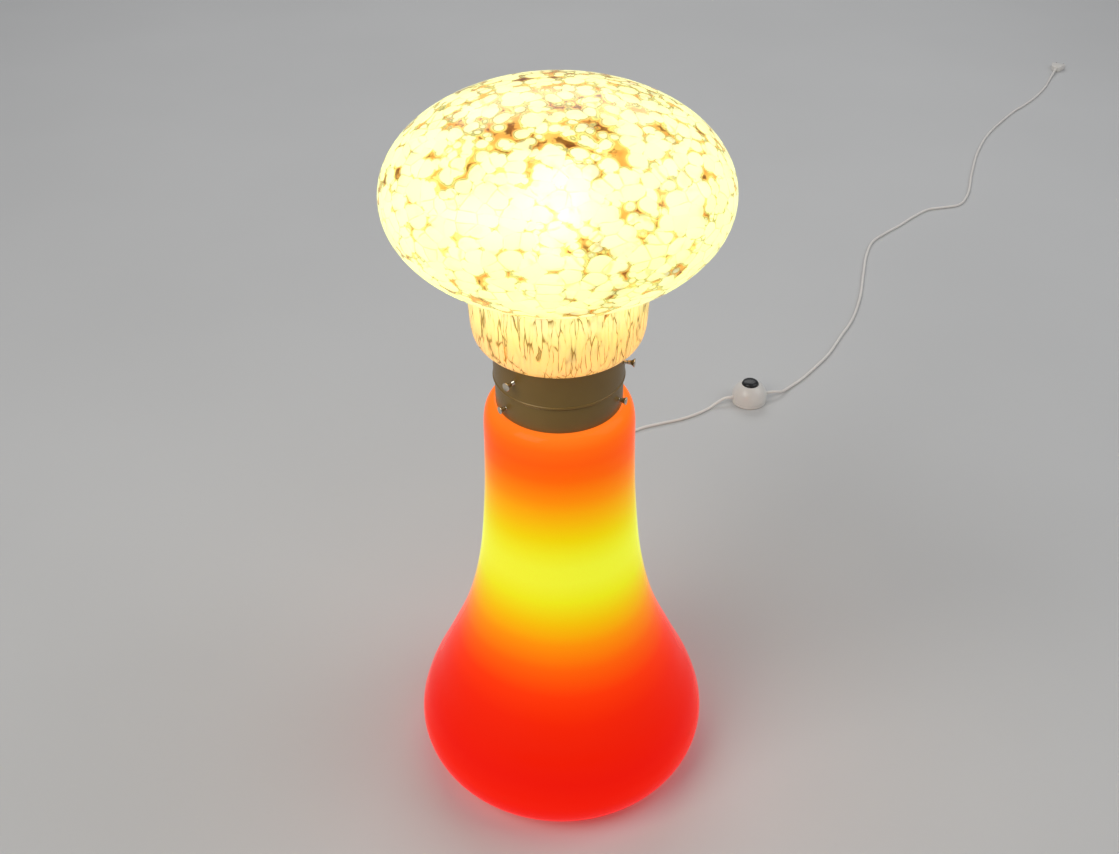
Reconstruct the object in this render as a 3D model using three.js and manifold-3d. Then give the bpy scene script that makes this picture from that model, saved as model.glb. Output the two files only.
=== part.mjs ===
// Floor lamp with two blown-glass bodies joined by a short metal collar.
// Millimetres, +Z up. The origin is the centre of the base's resting ring, the front is -Y.
import * as THREE from 'three';
import { mergeVertices } from 'three/addons/utils/BufferGeometryUtils.js';
import Module from 'manifold-3d';

const wasm = await Module();
wasm.setup();

// ---------------------------------------------------------------- driving dimensions
const SEG_GLASS = 24;            // facets round the two glasses
const SEG_COLLAR = 24;           // facets round the collar bands
const GAP = 0.3;                 // gap kept between touching pieces

const BASE_FOOT_R = 169;         // widest radius of the base glass
const BASE_FILLET_R = 51;        // round at the foot of the base glass
const BASE_RING_R = 118;         // outer edge of the resting ring
const BASE_WALL = 5;
const BASE_LIP_R = 54;           // outside of the base's fitter lip
const BASE_LIP_IN = 50.5;
const BASE_LIP_Z = 523;
const BASE_SHOULDER_Z = 501.2;   // flat shoulder that carries the lower band

const LOWER_BAND_R = 64.3, LOWER_BAND_IN = 62.5, LOWER_BAND_Z0 = 501.5, LOWER_BAND_Z1 = 529.7;
const UPPER_BAND_R = 65.5, UPPER_BAND_IN = 63.7, UPPER_BAND_Z0 = 530.0, UPPER_BAND_Z1 = 570.7;
const PLATE_T = 1.8;
const BEAD_R = 66.3;             // rolled bead at the foot of the upper band

const SHADE_LIP_R = 58, SHADE_LIP_IN = 54, SHADE_LIP_Z = 545;
const SHADE_BOTTOM_Z = 571;      // shoulder that rests on the upper band
const SHADE_NECK_R = 87;
const BOWL_A = 161.6, BOWL_B = 94, BOWL_CZ = 727;   // oblate bowl
const SHADE_WALL = 4;

const NIPPLE_R = 5, NIPPLE_IN = 3.3, NIPPLE_Z0 = 454, NIPPLE_Z1 = 612;
const UPPER_HOLDER_Z = 603, LOWER_HOLDER_Z = 463;
const GLOBE_R = 31, GLOBE_T = 116;      // bulb globe, and its distance from the holder's end

const SCREW_R = 2, SCREW_HOLE_R = 2.35;
const UPPER_SCREWS = [-42, 78, -162], UPPER_SCREW_Z = 551, UPPER_SCREW_TIP = 58.3, UPPER_SCREW_END = 76;
const LOWER_SCREWS = [-55, 68, -172], LOWER_SCREW_Z = 513, LOWER_SCREW_TIP = 54.3, LOWER_SCREW_END = 71.5;

const CORD_R = 2.5;
const CORD_Z = 2.8;              // cord centre where it lies on the floor
const ENTRY_Z = 24;              // cord entry in the back of the base glass
const SWITCH_AT = [327, 703], SWITCH_TURN = 12 * Math.PI / 180;
const SWITCH_R = 29.5, SWITCH_CORD_Z = 11.5, SWITCH_STUB = 33;
const PLUG_Z = 6.85;

// ---------------------------------------------------------------- helpers
const deg = Math.PI / 180;

// position-only, welded, no collapsed triangles, faces pointing out
function solid(geo) {
  let g = geo.clone();
  for (const name of Object.keys(g.attributes)) if (name !== 'position') g.deleteAttribute(name);
  if (!g.index) g = mergeVertices(g, 1e-4); else g = mergeVertices(g, 1e-4);
  const p = g.attributes.position.array;
  const idx = g.index.array;
  const keep = [];
  let vol = 0;
  for (let i = 0; i < idx.length; i += 3) {
    const a = idx[i], b = idx[i + 1], c = idx[i + 2];
    if (a === b || b === c || a === c) continue;
    keep.push(a, b, c);
    const [ax, ay, az] = [p[3 * a], p[3 * a + 1], p[3 * a + 2]];
    const [bx, by, bz] = [p[3 * b], p[3 * b + 1], p[3 * b + 2]];
    const [cx, cy, cz] = [p[3 * c], p[3 * c + 1], p[3 * c + 2]];
    vol += ax * (by * cz - bz * cy) - ay * (bx * cz - bz * cx) + az * (bx * cy - by * cx);
  }
  if (vol < 0) for (let i = 0; i < keep.length; i += 3) { const t = keep[i]; keep[i] = keep[i + 1]; keep[i + 1] = t; }
  const out = new THREE.BufferGeometry();
  out.setAttribute('position', new THREE.BufferAttribute(new Float32Array(p), 3));
  out.setIndex(keep);
  return out;
}

function toManifold(geo) {
  const g = solid(geo);
  return new wasm.Manifold(new wasm.Mesh({
    numProp: 3,
    vertProperties: new Float32Array(g.attributes.position.array),
    triVerts: new Uint32Array(g.index.array),
  }));
}

function fromManifold(man) {
  const mesh = man.getMesh();
  const out = new THREE.BufferGeometry();
  out.setAttribute('position', new THREE.BufferAttribute(new Float32Array(mesh.vertProperties), 3));
  out.setIndex(Array.from(mesh.triVerts));
  return solid(out);
}

function cut(geo, ...tools) {
  let m = toManifold(geo);
  for (const t of tools) m = m.subtract(toManifold(t));
  return fromManifold(m);
}

function join(geo, ...others) {
  let m = toManifold(geo);
  for (const t of others) m = m.add(toManifold(t));
  return fromManifold(m);
}

// surface of revolution about Z from (radius, z) pairs
function revolve(profile, seg = 16) {
  const pts = profile.map(([r, z]) => new THREE.Vector2(r, z));
  const g = new THREE.LatheGeometry(pts, seg);
  g.rotateX(Math.PI / 2);
  return solid(g);
}

// the same, closed on itself, for rings and tubes
const ring = (profile, seg = 16) => revolve([...profile, profile[0]], seg);

const alongX = (g) => { g.rotateY(Math.PI / 2); return g; };
const alongY = (g) => { g.rotateX(-Math.PI / 2); return g; };

function rod(r, z0, z1, seg = 12) {
  const g = new THREE.CylinderGeometry(r, r, z1 - z0, seg);
  g.rotateX(Math.PI / 2);
  g.translate(0, 0, (z0 + z1) / 2);
  return g;
}

function block(x0, x1, y0, y1, z0, z1) {
  const g = new THREE.BoxGeometry(x1 - x0, y1 - y0, z1 - z0);
  g.translate((x0 + x1) / 2, (y0 + y1) / 2, (z0 + z1) / 2);
  return g;
}

function tube(points, r, steps, sides = 8) {
  const curve = new THREE.CatmullRomCurve3(points.map((p) => new THREE.Vector3(...p)), false, 'centripetal');
  const shape = new THREE.Shape();
  for (let i = 0; i < sides; i++) {
    const a = (i + 0.5) * 2 * Math.PI / sides;
    const x = r * Math.cos(a), y = r * Math.sin(a);
    if (i === 0) shape.moveTo(x, y); else shape.lineTo(x, y);
  }
  shape.closePath();
  return solid(new THREE.ExtrudeGeometry(shape, { steps, bevelEnabled: false, extrudePath: curve }));
}

function material(color, roughness, metalness, extra = {}) {
  return new THREE.MeshStandardMaterial({ color, roughness, metalness, ...extra });
}

const MAT = {
  baseGlass: material(0xff5a14, 0.12, 0, { emissive: 0x7a1e04 }),
  shadeGlass: material(0xf6e9b8, 0.15, 0, { emissive: 0x6b5a20 }),
  enamel: material(0x9a7d46, 0.45, 0.1),
  brass: material(0xc9a35a, 0.3, 1),
  steel: material(0xb9bcc0, 0.35, 1),
  ceramic: material(0xe9e4d8, 0.4, 0),
  blackPlastic: material(0x141414, 0.4, 0),
  whitePlastic: material(0xe8e2d8, 0.4, 0),
  cordVinyl: material(0xe6ded2, 0.5, 0),
  rubber: material(0x2a2a2a, 0.8, 0),
  bulbGlass: material(0xfff3d0, 0.3, 0, { emissive: 0xffe2a0 }),
  clearGlass: material(0xe8eef0, 0.1, 0),
};

const lamp = new THREE.Group();
lamp.name = 'floor_lamp';

function add(name, geo, mat, parent = lamp) {
  const mesh = new THREE.Mesh(solid(geo), mat);
  mesh.name = name;
  parent.add(mesh);
  return mesh;
}

// ---------------------------------------------------------------- base glass
const baseOuter = [
  [0, 8], [60, 6], [72, 0], [BASE_RING_R, 0],
  [BASE_RING_R + BASE_FILLET_R * Math.sin(22.5 * deg), BASE_FILLET_R * (1 - Math.cos(22.5 * deg))],
  [BASE_RING_R + BASE_FILLET_R * Math.sin(45 * deg), BASE_FILLET_R * (1 - Math.cos(45 * deg))],
  [BASE_RING_R + BASE_FILLET_R * Math.sin(67.5 * deg), BASE_FILLET_R * (1 - Math.cos(67.5 * deg))],
  [BASE_FOOT_R, BASE_FILLET_R],
  [167.6, 64], [164.3, 76], [159.6, 90], [146, 120], [132.6, 150], [119.5, 180], [108.5, 210],
  [99.9, 240], [93.2, 270], [88.1, 300], [83.4, 345], [80.1, 390],
  [78.1, 450], [78, 467], [77.3, 480], [75, 491], [71.5, 497.5], [66.5, BASE_SHOULDER_Z],
  [57, BASE_SHOULDER_Z], [BASE_LIP_R, 504], [BASE_LIP_R, BASE_LIP_Z],
];
const baseInner = [
  [BASE_LIP_IN, BASE_LIP_Z], [BASE_LIP_IN, 499], [63, 495.5], [70.5, 487], [73.3, 470],
  [75, 400], [78.5, 345], [83.8, 300], [94.8, 240], [114.2, 180], [141.5, 120],
  [162.5, 66], [164, BASE_FILLET_R],
  [BASE_RING_R + 46 * Math.sin(62 * deg), BASE_FILLET_R - 46 * Math.cos(62 * deg)],
  [BASE_RING_R + 46 * Math.sin(32 * deg), BASE_FILLET_R - 46 * Math.cos(32 * deg)],
  [BASE_RING_R, BASE_WALL], [74, BASE_WALL], [61, 11], [0, 13],
];
const entryHole = alongY(rod(6, 132, 190, 12));
entryHole.translate(0, 0, ENTRY_Z);
add('base_glass', cut(revolve([...baseOuter, ...baseInner], SEG_GLASS), entryHole), MAT.baseGlass);

// cord bush in the back of the base, with a tapered strain relief
const bush = alongY(revolve([[0, 143], [7.5, 143], [7.5, 146], [5.7, 147], [5.7, 168], [4.3, 170], [3.1, 186], [0, 186]], 12));
bush.translate(0, 0, ENTRY_Z);
add('cord_grommet', bush, MAT.rubber);

// lead inside the base, from the bush to the terminal block
add('inner_lead', tube([
  [0, 142.6, 24], [0, 138, 24], [0, 131, 25], [0, 119, 34], [0, 108, 58], [0, 92, 105], [0, 76, 160], [0, 61, 220],
  [0, 50, 280], [0, 45.5, 330], [0, 44, 400], [0, 43.5, 460], [0, 43, 488], [0, 42, 503], [0, 40, 512], [0, 35.5, 517.2], [0, 31.5, 518], [0, 28.4, 518],
], 2.3, 20), MAT.cordVinyl);

// ---------------------------------------------------------------- collar bands
function screwTools(list, z, r0, r1) {
  return list.map((a) => {
    const g = alongX(rod(SCREW_HOLE_R, r0, r1, 10));
    g.rotateZ((a - 90) * deg);
    g.translate(0, 0, z);
    return g;
  });
}
const lowerCup = ring([
  [5.35, LOWER_BAND_Z1 - PLATE_T], [LOWER_BAND_IN, LOWER_BAND_Z1 - PLATE_T], [LOWER_BAND_IN, LOWER_BAND_Z0],
  [LOWER_BAND_R, LOWER_BAND_Z0], [LOWER_BAND_R, LOWER_BAND_Z1 - 0.8], [LOWER_BAND_R - 0.8, LOWER_BAND_Z1],
  [5.35, LOWER_BAND_Z1],
], SEG_COLLAR);
add('lower_band', cut(lowerCup, ...screwTools(LOWER_SCREWS, LOWER_SCREW_Z, 58, 70)), MAT.enamel);

const upperCup = ring([
  [5.35, UPPER_BAND_Z0], [BEAD_R - 1, UPPER_BAND_Z0], [BEAD_R, UPPER_BAND_Z0 + 1], [BEAD_R, UPPER_BAND_Z0 + 1.8],
  [UPPER_BAND_R, UPPER_BAND_Z0 + 2.8], [UPPER_BAND_R, UPPER_BAND_Z1], [UPPER_BAND_IN, UPPER_BAND_Z1],
  [UPPER_BAND_IN, UPPER_BAND_Z0 + PLATE_T], [5.35, UPPER_BAND_Z0 + PLATE_T],
], SEG_COLLAR);
add('upper_band', cut(upperCup, ...screwTools(UPPER_SCREWS, UPPER_SCREW_Z, 60, 71)), MAT.enamel);

// ---------------------------------------------------------------- thumbscrews
function thumbscrew(name, azimuth, z, tip, end, headR) {
  const L = end - tip;
  const g = alongX(revolve([
    [0, 0], [1.4, 0], [SCREW_R, 0.7], [SCREW_R, L - 5.6], [SCREW_R + 0.5, L - 3.6], [headR * 0.72, L - 1.9],
    [headR, L - 0.6], [headR, L - 0.2], [headR - 0.4, L], [0, L - 0.5],
  ], 10));
  g.translate(tip, 0, 0);
  g.rotateZ((azimuth - 90) * deg);
  g.translate(0, 0, z);
  add(name, g, MAT.brass);
}
UPPER_SCREWS.forEach((a, i) => thumbscrew(`upper_thumbscrew_${i + 1}`, a, UPPER_SCREW_Z, UPPER_SCREW_TIP, UPPER_SCREW_END, 4.4));
LOWER_SCREWS.forEach((a, i) => thumbscrew(`lower_thumbscrew_${i + 1}`, a, LOWER_SCREW_Z, LOWER_SCREW_TIP, LOWER_SCREW_END, 3.9));

// ---------------------------------------------------------------- centre tube and its nuts
add('nipple_tube', cut(
  ring([[NIPPLE_IN, NIPPLE_Z0], [NIPPLE_R, NIPPLE_Z0], [NIPPLE_R, NIPPLE_Z1], [NIPPLE_IN, NIPPLE_Z1]], 16),
  block(-2.2, 2.2, 0, 8, 510, 520),
), MAT.brass);
const washer = (z0) => ring([[5.35, z0], [12, z0], [12, z0 + 1.4], [5.35, z0 + 1.4]], 16);
function hexNut(z0) {
  return cut(rod(8.2, z0, z0 + 3.4, 6), rod(5.35, z0 - 1, z0 + 5, 16));
}
add('lower_washer', washer(526.2), MAT.steel);
add('lower_locknut', hexNut(522.5), MAT.brass);
add('upper_washer', washer(532.1), MAT.steel);
add('upper_locknut', hexNut(533.8), MAT.brass);

// ---------------------------------------------------------------- wiring in the collar
add('terminal_block', cut(block(-12, 12, 14, 28, 509.5, 527.5), rod(1.9, 505, 530, 10).translate(6.5, 21, 0)), MAT.whitePlastic);
add('terminal_screw', join(rod(1.5, 508, 527.2, 10), rod(3, 506.2, 509.2, 10)).translate(6.5, 21, 0), MAT.steel);
add('jumper_wire', alongY(rod(1.4, 1.9, 13.7, 8)).translate(0, 0, 515), MAT.cordVinyl);
add('through_wire', rod(1.5, 457, 609, 8), MAT.cordVinyl);

// ---------------------------------------------------------------- lampholders and bulbs
function mirrored(profile, z0, dir) {
  return profile.map(([r, t]) => [r, z0 + dir * t]);
}
function lampholder(prefix, z0, dir) {
  const m = (p) => mirrored(p, z0, dir);
  add(`${prefix}_holder_cap`, ring(m([[5.35, 0], [12, 0], [17, 3], [20, 8], [20, 18], [18.4, 18], [18.4, 9], [15.8, 4.6], [11, 2], [5.35, 2]]), 16), MAT.blackPlastic);
  add(`${prefix}_holder_body`, ring(m([[18.4, 18.3], [20, 18.3], [20, 24], [21, 26.5], [19.6, 58], [17.9, 58], [18.4, 27]]), 16), MAT.blackPlastic);
  add(`${prefix}_holder_insert`, revolve(m([[0, 12], [15.5, 12], [17, 14], [17, 26], [15.6, 28], [0, 28]]), 16), MAT.ceramic);
  add(`${prefix}_screw_shell`, ring(m([[13.7, 28.3], [14.4, 28.3], [14.4, 56], [13.7, 56]]), 16), MAT.brass);
  add(`${prefix}_centre_contact`, revolve(m([[0, 28.3], [4.5, 28.3], [4.5, 29.3], [2.5, 31.2], [0, 31.2]]), 10), MAT.brass);
}
lampholder('upper', UPPER_HOLDER_Z, 1);
lampholder('lower', LOWER_HOLDER_Z, -1);

function bulb(prefix, z0, dir) {
  const m = (p) => mirrored(p, z0, dir);
  const arc = (R, from, to, n) => Array.from({ length: n + 1 }, (_, i) => {
    const a = (from + (to - from) * i / n) * deg;
    return [Math.max(0, R * Math.sin(a)), GLOBE_T - R * Math.cos(a)];
  });
  add(`${prefix}_bulb_cap`, revolve(m([[0, 31.6], [4.4, 31.6], [5, 33.4], [11.6, 37], [13.2, 39], [13.2, 58], [0, 58]]), 16), MAT.steel);
  const outer = [[12.9, 58.3], [13.2, 69], [15.2, 80], [18.8, 88.6], ...arc(GLOBE_R, 50, 90, 2), ...arc(GLOBE_R, 112, 158, 2)];
  const inner = [[11.7, 58.3], [12, 69], [14, 80.4], [17.8, 89.6], ...arc(GLOBE_R - 1.2, 50, 90, 2), ...arc(GLOBE_R - 1.2, 112, 158, 2)];
  const profile = [...outer, [0, GLOBE_T + GLOBE_R], [0, GLOBE_T + GLOBE_R - 1.2], ...inner.reverse(), [12.9, 58.3]];
  add(`${prefix}_bulb_glass`, revolve(m(profile), 16), MAT.bulbGlass);
  add(`${prefix}_bulb_stem`, revolve(m([[0, 58.4], [8, 58.4], [4.4, 66], [2.6, 78], [2.2, 98], [3.4, 101], [3, 104], [0, 106]]), 10), MAT.clearGlass);
}
bulb('upper', UPPER_HOLDER_Z, 1);
bulb('lower', LOWER_HOLDER_Z, -1);

// ---------------------------------------------------------------- shade glass
const bowl = (a, b, angles) => angles.map((t) => [Math.max(0, a * Math.cos(t * deg)), BOWL_CZ + b * Math.sin(t * deg)]);
const shadeOuter = [
  [SHADE_LIP_R, SHADE_LIP_Z], [SHADE_LIP_R, SHADE_BOTTOM_Z], [66.2, SHADE_BOTTOM_Z], [71.5, 572], [78, 575.2],
  [82.6, 581], [84.8, 589], [86.4, 603], [SHADE_NECK_R, 620], [87.1, 636], [88.2, 644.5],
  ...bowl(BOWL_A, BOWL_B, [-56, -50, -40, -28, -14, 0, 14, 28, 40, 52, 64, 77]), [0, BOWL_CZ + BOWL_B],
];
const shadeInner = [
  [0, BOWL_CZ + BOWL_B - SHADE_WALL],
  ...bowl(BOWL_A - SHADE_WALL, BOWL_B - SHADE_WALL, [76, 62, 47, 32, 16, 0, -16, -32, -46, -56]),
  [84.2, 646], [83, 634], [82.4, 604], [80.4, 589], [76.4, 580], [70.5, 576], [66, 575],
  [SHADE_LIP_IN, 575], [SHADE_LIP_IN, SHADE_LIP_Z], [SHADE_LIP_R, SHADE_LIP_Z],
];
add('shade_glass', revolve([...shadeOuter, ...shadeInner], SEG_GLASS), MAT.shadeGlass);

// ---------------------------------------------------------------- foot switch
const foot = new THREE.Group();
foot.position.set(SWITCH_AT[0], SWITCH_AT[1], 0);
foot.rotation.z = SWITCH_TURN;
lamp.add(foot);

const bossAt = [[0, 20], [0, -20]];
const at = (g, [x, y]) => g.translate(x, y, 0);
let tray = revolve([[0, 0], [28.5, 0], [SWITCH_R, 1], [SWITCH_R, 6], [27.5, 6], [27.5, 2.6], [0, 2.6]], 20);
tray = join(tray, ...bossAt.map((q) => at(rod(4.5, 1, 6, 12), q)));
tray = cut(tray, ...bossAt.map((q) => at(rod(3.4, -1, 2, 12), q)), ...bossAt.map((q) => at(rod(1.9, -1, 8, 10), q)));
add('switch_base', tray, MAT.whitePlastic, foot);

let cover = ring([
  [SWITCH_R, 6.3], [SWITCH_R, 12], [28.8, 17.5], [26.9, 22.8], [23.7, 27.8], [19.2, 32.2], [14.2, 35.4],
  [14.2, 33.2], [18, 30.6], [22, 26.6], [25, 21.8], [26.8, 16.8], [27.4, 12], [27.4, 6.3],
], 20);
cover = join(cover, ...bossAt.map((q) => at(rod(4, 6.3, 25, 12), q)));
const cordBore = alongX(rod(3.8, -40, 40, 12)).translate(0, 0, SWITCH_CORD_Z);
cover = cut(cover, cordBore, ...bossAt.map((q) => at(rod(1.8, 5, 16, 10), q)));
add('switch_cover', cover, MAT.whitePlastic, foot);

add('switch_button', revolve([[0, 26], [7, 26], [7, 30], [15.2, 30], [15.2, 31.5], [13.7, 31.5], [13.7, 36.8], [12.6, 38.9], [9.4, 40.5], [0, 41.4]], 20), MAT.blackPlastic, foot);
const coil = [];
for (let i = 0; i <= 36; i++) {
  const a = i / 36 * 4 * 2 * Math.PI;
  coil.push([6 * Math.cos(a), 6 * Math.sin(a), 13 + 12 * i / 36]);
}
add('switch_spring', tube(coil, 0.6, 40, 5), MAT.steel, foot);
add('switch_mechanism', block(-10, 10, -7, 7, 2.9, 12), MAT.ceramic, foot);
bossAt.forEach((q, i) => add(`switch_screw_${i + 1}`, at(join(rod(1.5, 1, 15, 8), rod(3, 0.4, 1.8, 10)), q), MAT.steel, foot));
[1, -1].forEach((s, i) => {
  const g = alongX(revolve([[0, 24], [3.5, 24], [3.5, 30], [3.2, 32.4], [2.9, SWITCH_STUB], [0, SWITCH_STUB]], 10));
  if (s < 0) g.rotateZ(Math.PI);
  add(`switch_strain_relief_${i + 1}`, g.translate(0, 0, SWITCH_CORD_Z), MAT.whitePlastic, foot);
});

// ---------------------------------------------------------------- cord on the floor
const stub = (s, out = 0) => [
  SWITCH_AT[0] + s * (SWITCH_STUB + GAP + out) * Math.cos(SWITCH_TURN),
  SWITCH_AT[1] + s * (SWITCH_STUB + GAP + out) * Math.sin(SWITCH_TURN), SWITCH_CORD_Z,
];
const lampSide = [
  [0, 186.4, ENTRY_Z], [0, 193, ENTRY_Z], [0, 205, 22.4], [0.5, 222, 16], [2, 245, 8], [4, 280, CORD_Z], [9, 340, CORD_Z],
  [19, 410, CORD_Z], [39, 485, CORD_Z], [70, 549, CORD_Z], [102, 595, CORD_Z], [135, 620, CORD_Z],
  [171, 634, CORD_Z], [206, 646, CORD_Z], [236, 662, CORD_Z], [256, 677, CORD_Z], [270, 687.5, 6.5], stub(-1, 10), stub(-1),
];
add('cord_lamp_to_switch', tube(lampSide, CORD_R, 24), MAT.cordVinyl);

const PLUG_AT = [1376, 2262], PLUG_DIR = Math.atan2(107, 63);
const plugBack = (d, z) => [PLUG_AT[0] - d * Math.cos(PLUG_DIR), PLUG_AT[1] - d * Math.sin(PLUG_DIR), z];
const wallSide = [
  stub(1), stub(1, 10), [386, 720, 6.5], [403, 738, CORD_Z], [428, 763, CORD_Z], [456, 797, CORD_Z], [491, 844, CORD_Z],
  [522, 899, CORD_Z], [559, 966, CORD_Z], [590, 1047, CORD_Z], [616, 1140, CORD_Z], [640, 1223, CORD_Z],
  [665, 1279, CORD_Z], [699, 1316, CORD_Z], [738, 1352, CORD_Z], [779, 1394, CORD_Z], [820, 1428, CORD_Z],
  [858, 1438, CORD_Z], [893, 1450, CORD_Z], [925, 1498, CORD_Z], [966, 1609, CORD_Z], [1015, 1733, CORD_Z],
  [1074, 1845, CORD_Z], [1144, 1942, CORD_Z], [1183, 1991, CORD_Z], [1218, 2028, CORD_Z], [1246, 2059, CORD_Z], [1276, 2097, CORD_Z], [1320, 2162, CORD_Z],
  plugBack(30, 4), plugBack(8, PLUG_Z), plugBack(0, PLUG_Z),
];
add('cord_switch_to_plug', tube(wallSide, CORD_R, 56), MAT.cordVinyl);

// ---------------------------------------------------------------- plug
const plug = new THREE.Group();
plug.position.set(PLUG_AT[0], PLUG_AT[1], 0);
plug.rotation.z = PLUG_DIR;
lamp.add(plug);
const outline = new THREE.Shape();
[[22.3, -6], [30, -12], [44, -14.5], [52, -17.5], [57, -17.5], [58, -16.5], [58, 16.5], [57, 17.5], [52, 17.5], [44, 14.5], [30, 12], [22.3, 6]]
  .forEach(([x, y], i) => (i ? outline.lineTo(x, y) : outline.moveTo(x, y)));
outline.closePath();
const pinAt = [9.3, -9.3];
let body = new THREE.ExtrudeGeometry(outline, { depth: 11.7, bevelEnabled: true, bevelThickness: 1, bevelSize: 1, bevelOffset: -1, bevelSegments: 1 });
body.translate(0, 0, 1);
body = cut(body, ...pinAt.map((y) => alongX(rod(2.3, 47, 62, 10)).translate(0, y, PLUG_Z)));
add('plug_body', body, MAT.whitePlastic, plug);
pinAt.forEach((y, i) => add(`plug_pin_${i + 1}`,
  alongX(revolve([[0, 47.5], [2, 47.5], [2, 75.6], [1.2, 77.2], [0, 77.4]], 10)).translate(0, y, PLUG_Z), MAT.brass, plug));
add('plug_strain_relief', alongX(revolve([[0, 0.4], [2.9, 0.4], [4.3, 22], [0, 22]], 10)).translate(0, 0, PLUG_Z), MAT.whitePlastic, plug);

export default lamp;
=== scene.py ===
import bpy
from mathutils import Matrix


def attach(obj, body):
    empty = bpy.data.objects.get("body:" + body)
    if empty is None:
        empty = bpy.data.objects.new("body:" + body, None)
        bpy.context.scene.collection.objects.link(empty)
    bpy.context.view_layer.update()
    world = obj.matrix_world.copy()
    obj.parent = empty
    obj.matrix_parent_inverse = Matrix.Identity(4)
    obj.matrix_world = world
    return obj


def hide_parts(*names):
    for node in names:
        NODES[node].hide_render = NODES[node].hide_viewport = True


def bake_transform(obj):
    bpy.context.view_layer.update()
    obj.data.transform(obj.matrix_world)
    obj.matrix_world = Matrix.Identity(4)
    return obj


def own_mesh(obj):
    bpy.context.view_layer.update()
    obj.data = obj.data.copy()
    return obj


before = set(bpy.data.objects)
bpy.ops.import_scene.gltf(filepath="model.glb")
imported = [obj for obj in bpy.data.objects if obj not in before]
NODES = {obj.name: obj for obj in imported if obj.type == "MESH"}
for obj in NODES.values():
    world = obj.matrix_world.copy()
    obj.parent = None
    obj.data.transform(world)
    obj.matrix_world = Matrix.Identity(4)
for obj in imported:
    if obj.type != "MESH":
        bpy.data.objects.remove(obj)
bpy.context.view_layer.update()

import math

import bpy
import bmesh
from mathutils import Matrix, Vector

MM = 0.001
scene = bpy.context.scene


# ------------------------------------------------------------------ camera
def make_camera():
    data = bpy.data.cameras.new("camera")
    data.sensor_fit = "HORIZONTAL"
    data.sensor_width = 36.0
    data.lens = 38.75
    data.clip_start = 0.02
    data.clip_end = 60.0
    ob = bpy.data.objects.new("camera", data)
    scene.collection.objects.link(ob)
    ob.matrix_world = (
        Matrix.Translation((0.0, -1.0, 1.197))
        @ Matrix.Rotation(math.radians(90 - 36.3), 4, "X")
        @ Matrix.Rotation(math.radians(-0.45), 4, "Z")
    )
    scene.camera = ob


make_camera()


# ------------------------------------------------------------------ mesh helpers
def link(name, mesh, mat=None, smooth=True):
    ob = bpy.data.objects.new(name, mesh)
    scene.collection.objects.link(ob)
    if mat is not None:
        mesh.materials.append(mat)
    if smooth:
        mesh.shade_smooth()
    return ob


def catmull(points, step):
    """Centripetal Catmull-Rom through the points, sampled about every step."""
    P = [Vector(p) for p in points]
    first = P[0] * 2 - P[1]
    last = P[-1] * 2 - P[-2]
    Q = [first, *P, last]
    out = []
    for i in range(1, len(Q) - 2):
        p0, p1, p2, p3 = Q[i - 1], Q[i], Q[i + 1], Q[i + 2]
        t0 = 0.0
        t1 = t0 + max((p1 - p0).length, 1e-9) ** 0.5
        t2 = t1 + max((p2 - p1).length, 1e-9) ** 0.5
        t3 = t2 + max((p3 - p2).length, 1e-9) ** 0.5
        n = max(1, int(math.ceil((p2 - p1).length / step)))
        for k in range(n):
            t = t1 + (t2 - t1) * k / n
            a1 = p0 * ((t1 - t) / (t1 - t0)) + p1 * ((t - t0) / (t1 - t0))
            a2 = p1 * ((t2 - t) / (t2 - t1)) + p2 * ((t - t1) / (t2 - t1))
            a3 = p2 * ((t3 - t) / (t3 - t2)) + p3 * ((t - t2) / (t3 - t2))
            b1 = a1 * ((t2 - t) / (t2 - t0)) + a2 * ((t - t0) / (t2 - t0))
            b2 = a2 * ((t3 - t) / (t3 - t1)) + a3 * ((t - t1) / (t3 - t1))
            out.append(b1 * ((t2 - t) / (t2 - t1)) + b2 * ((t - t1) / (t2 - t1)))
    out.append(P[-1])
    return out


def spline2(points, step):
    return [(v.x, v.y) for v in catmull([(r, z, 0) for r, z in points], step)]


def rounded(profile, radius, n=3, closed=False):
    """The polyline with its corners rounded. A point may carry its own radius as a third number."""
    pts = [tuple(p) for p in profile]
    m = len(pts)
    out = []
    for i, p in enumerate(pts):
        rad = p[2] if len(p) > 2 else radius
        if (not closed and i in (0, m - 1)) or rad <= 0:
            out.append((p[0], p[1]))
            continue
        a, b, c = Vector(pts[i - 1][:2]), Vector(p[:2]), Vector(pts[(i + 1) % m][:2])
        u, v = a - b, c - b
        if u.length < 1e-9 or v.length < 1e-9:
            out.append((p[0], p[1]))
            continue
        cosang = max(-1, min(1, u.normalized().dot(v.normalized())))
        ang = math.acos(cosang)
        if ang > math.radians(170):
            out.append((p[0], p[1]))
            continue
        d = min(rad / math.tan(ang / 2), 0.45 * u.length, 0.45 * v.length)
        s, e = b + u.normalized() * d, b + v.normalized() * d
        for k in range(n + 1):
            t = k / n
            q = s * (1 - t) ** 2 + b * (2 * t * (1 - t)) + e * t ** 2
            out.append((q.x, q.y))
    return out


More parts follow.
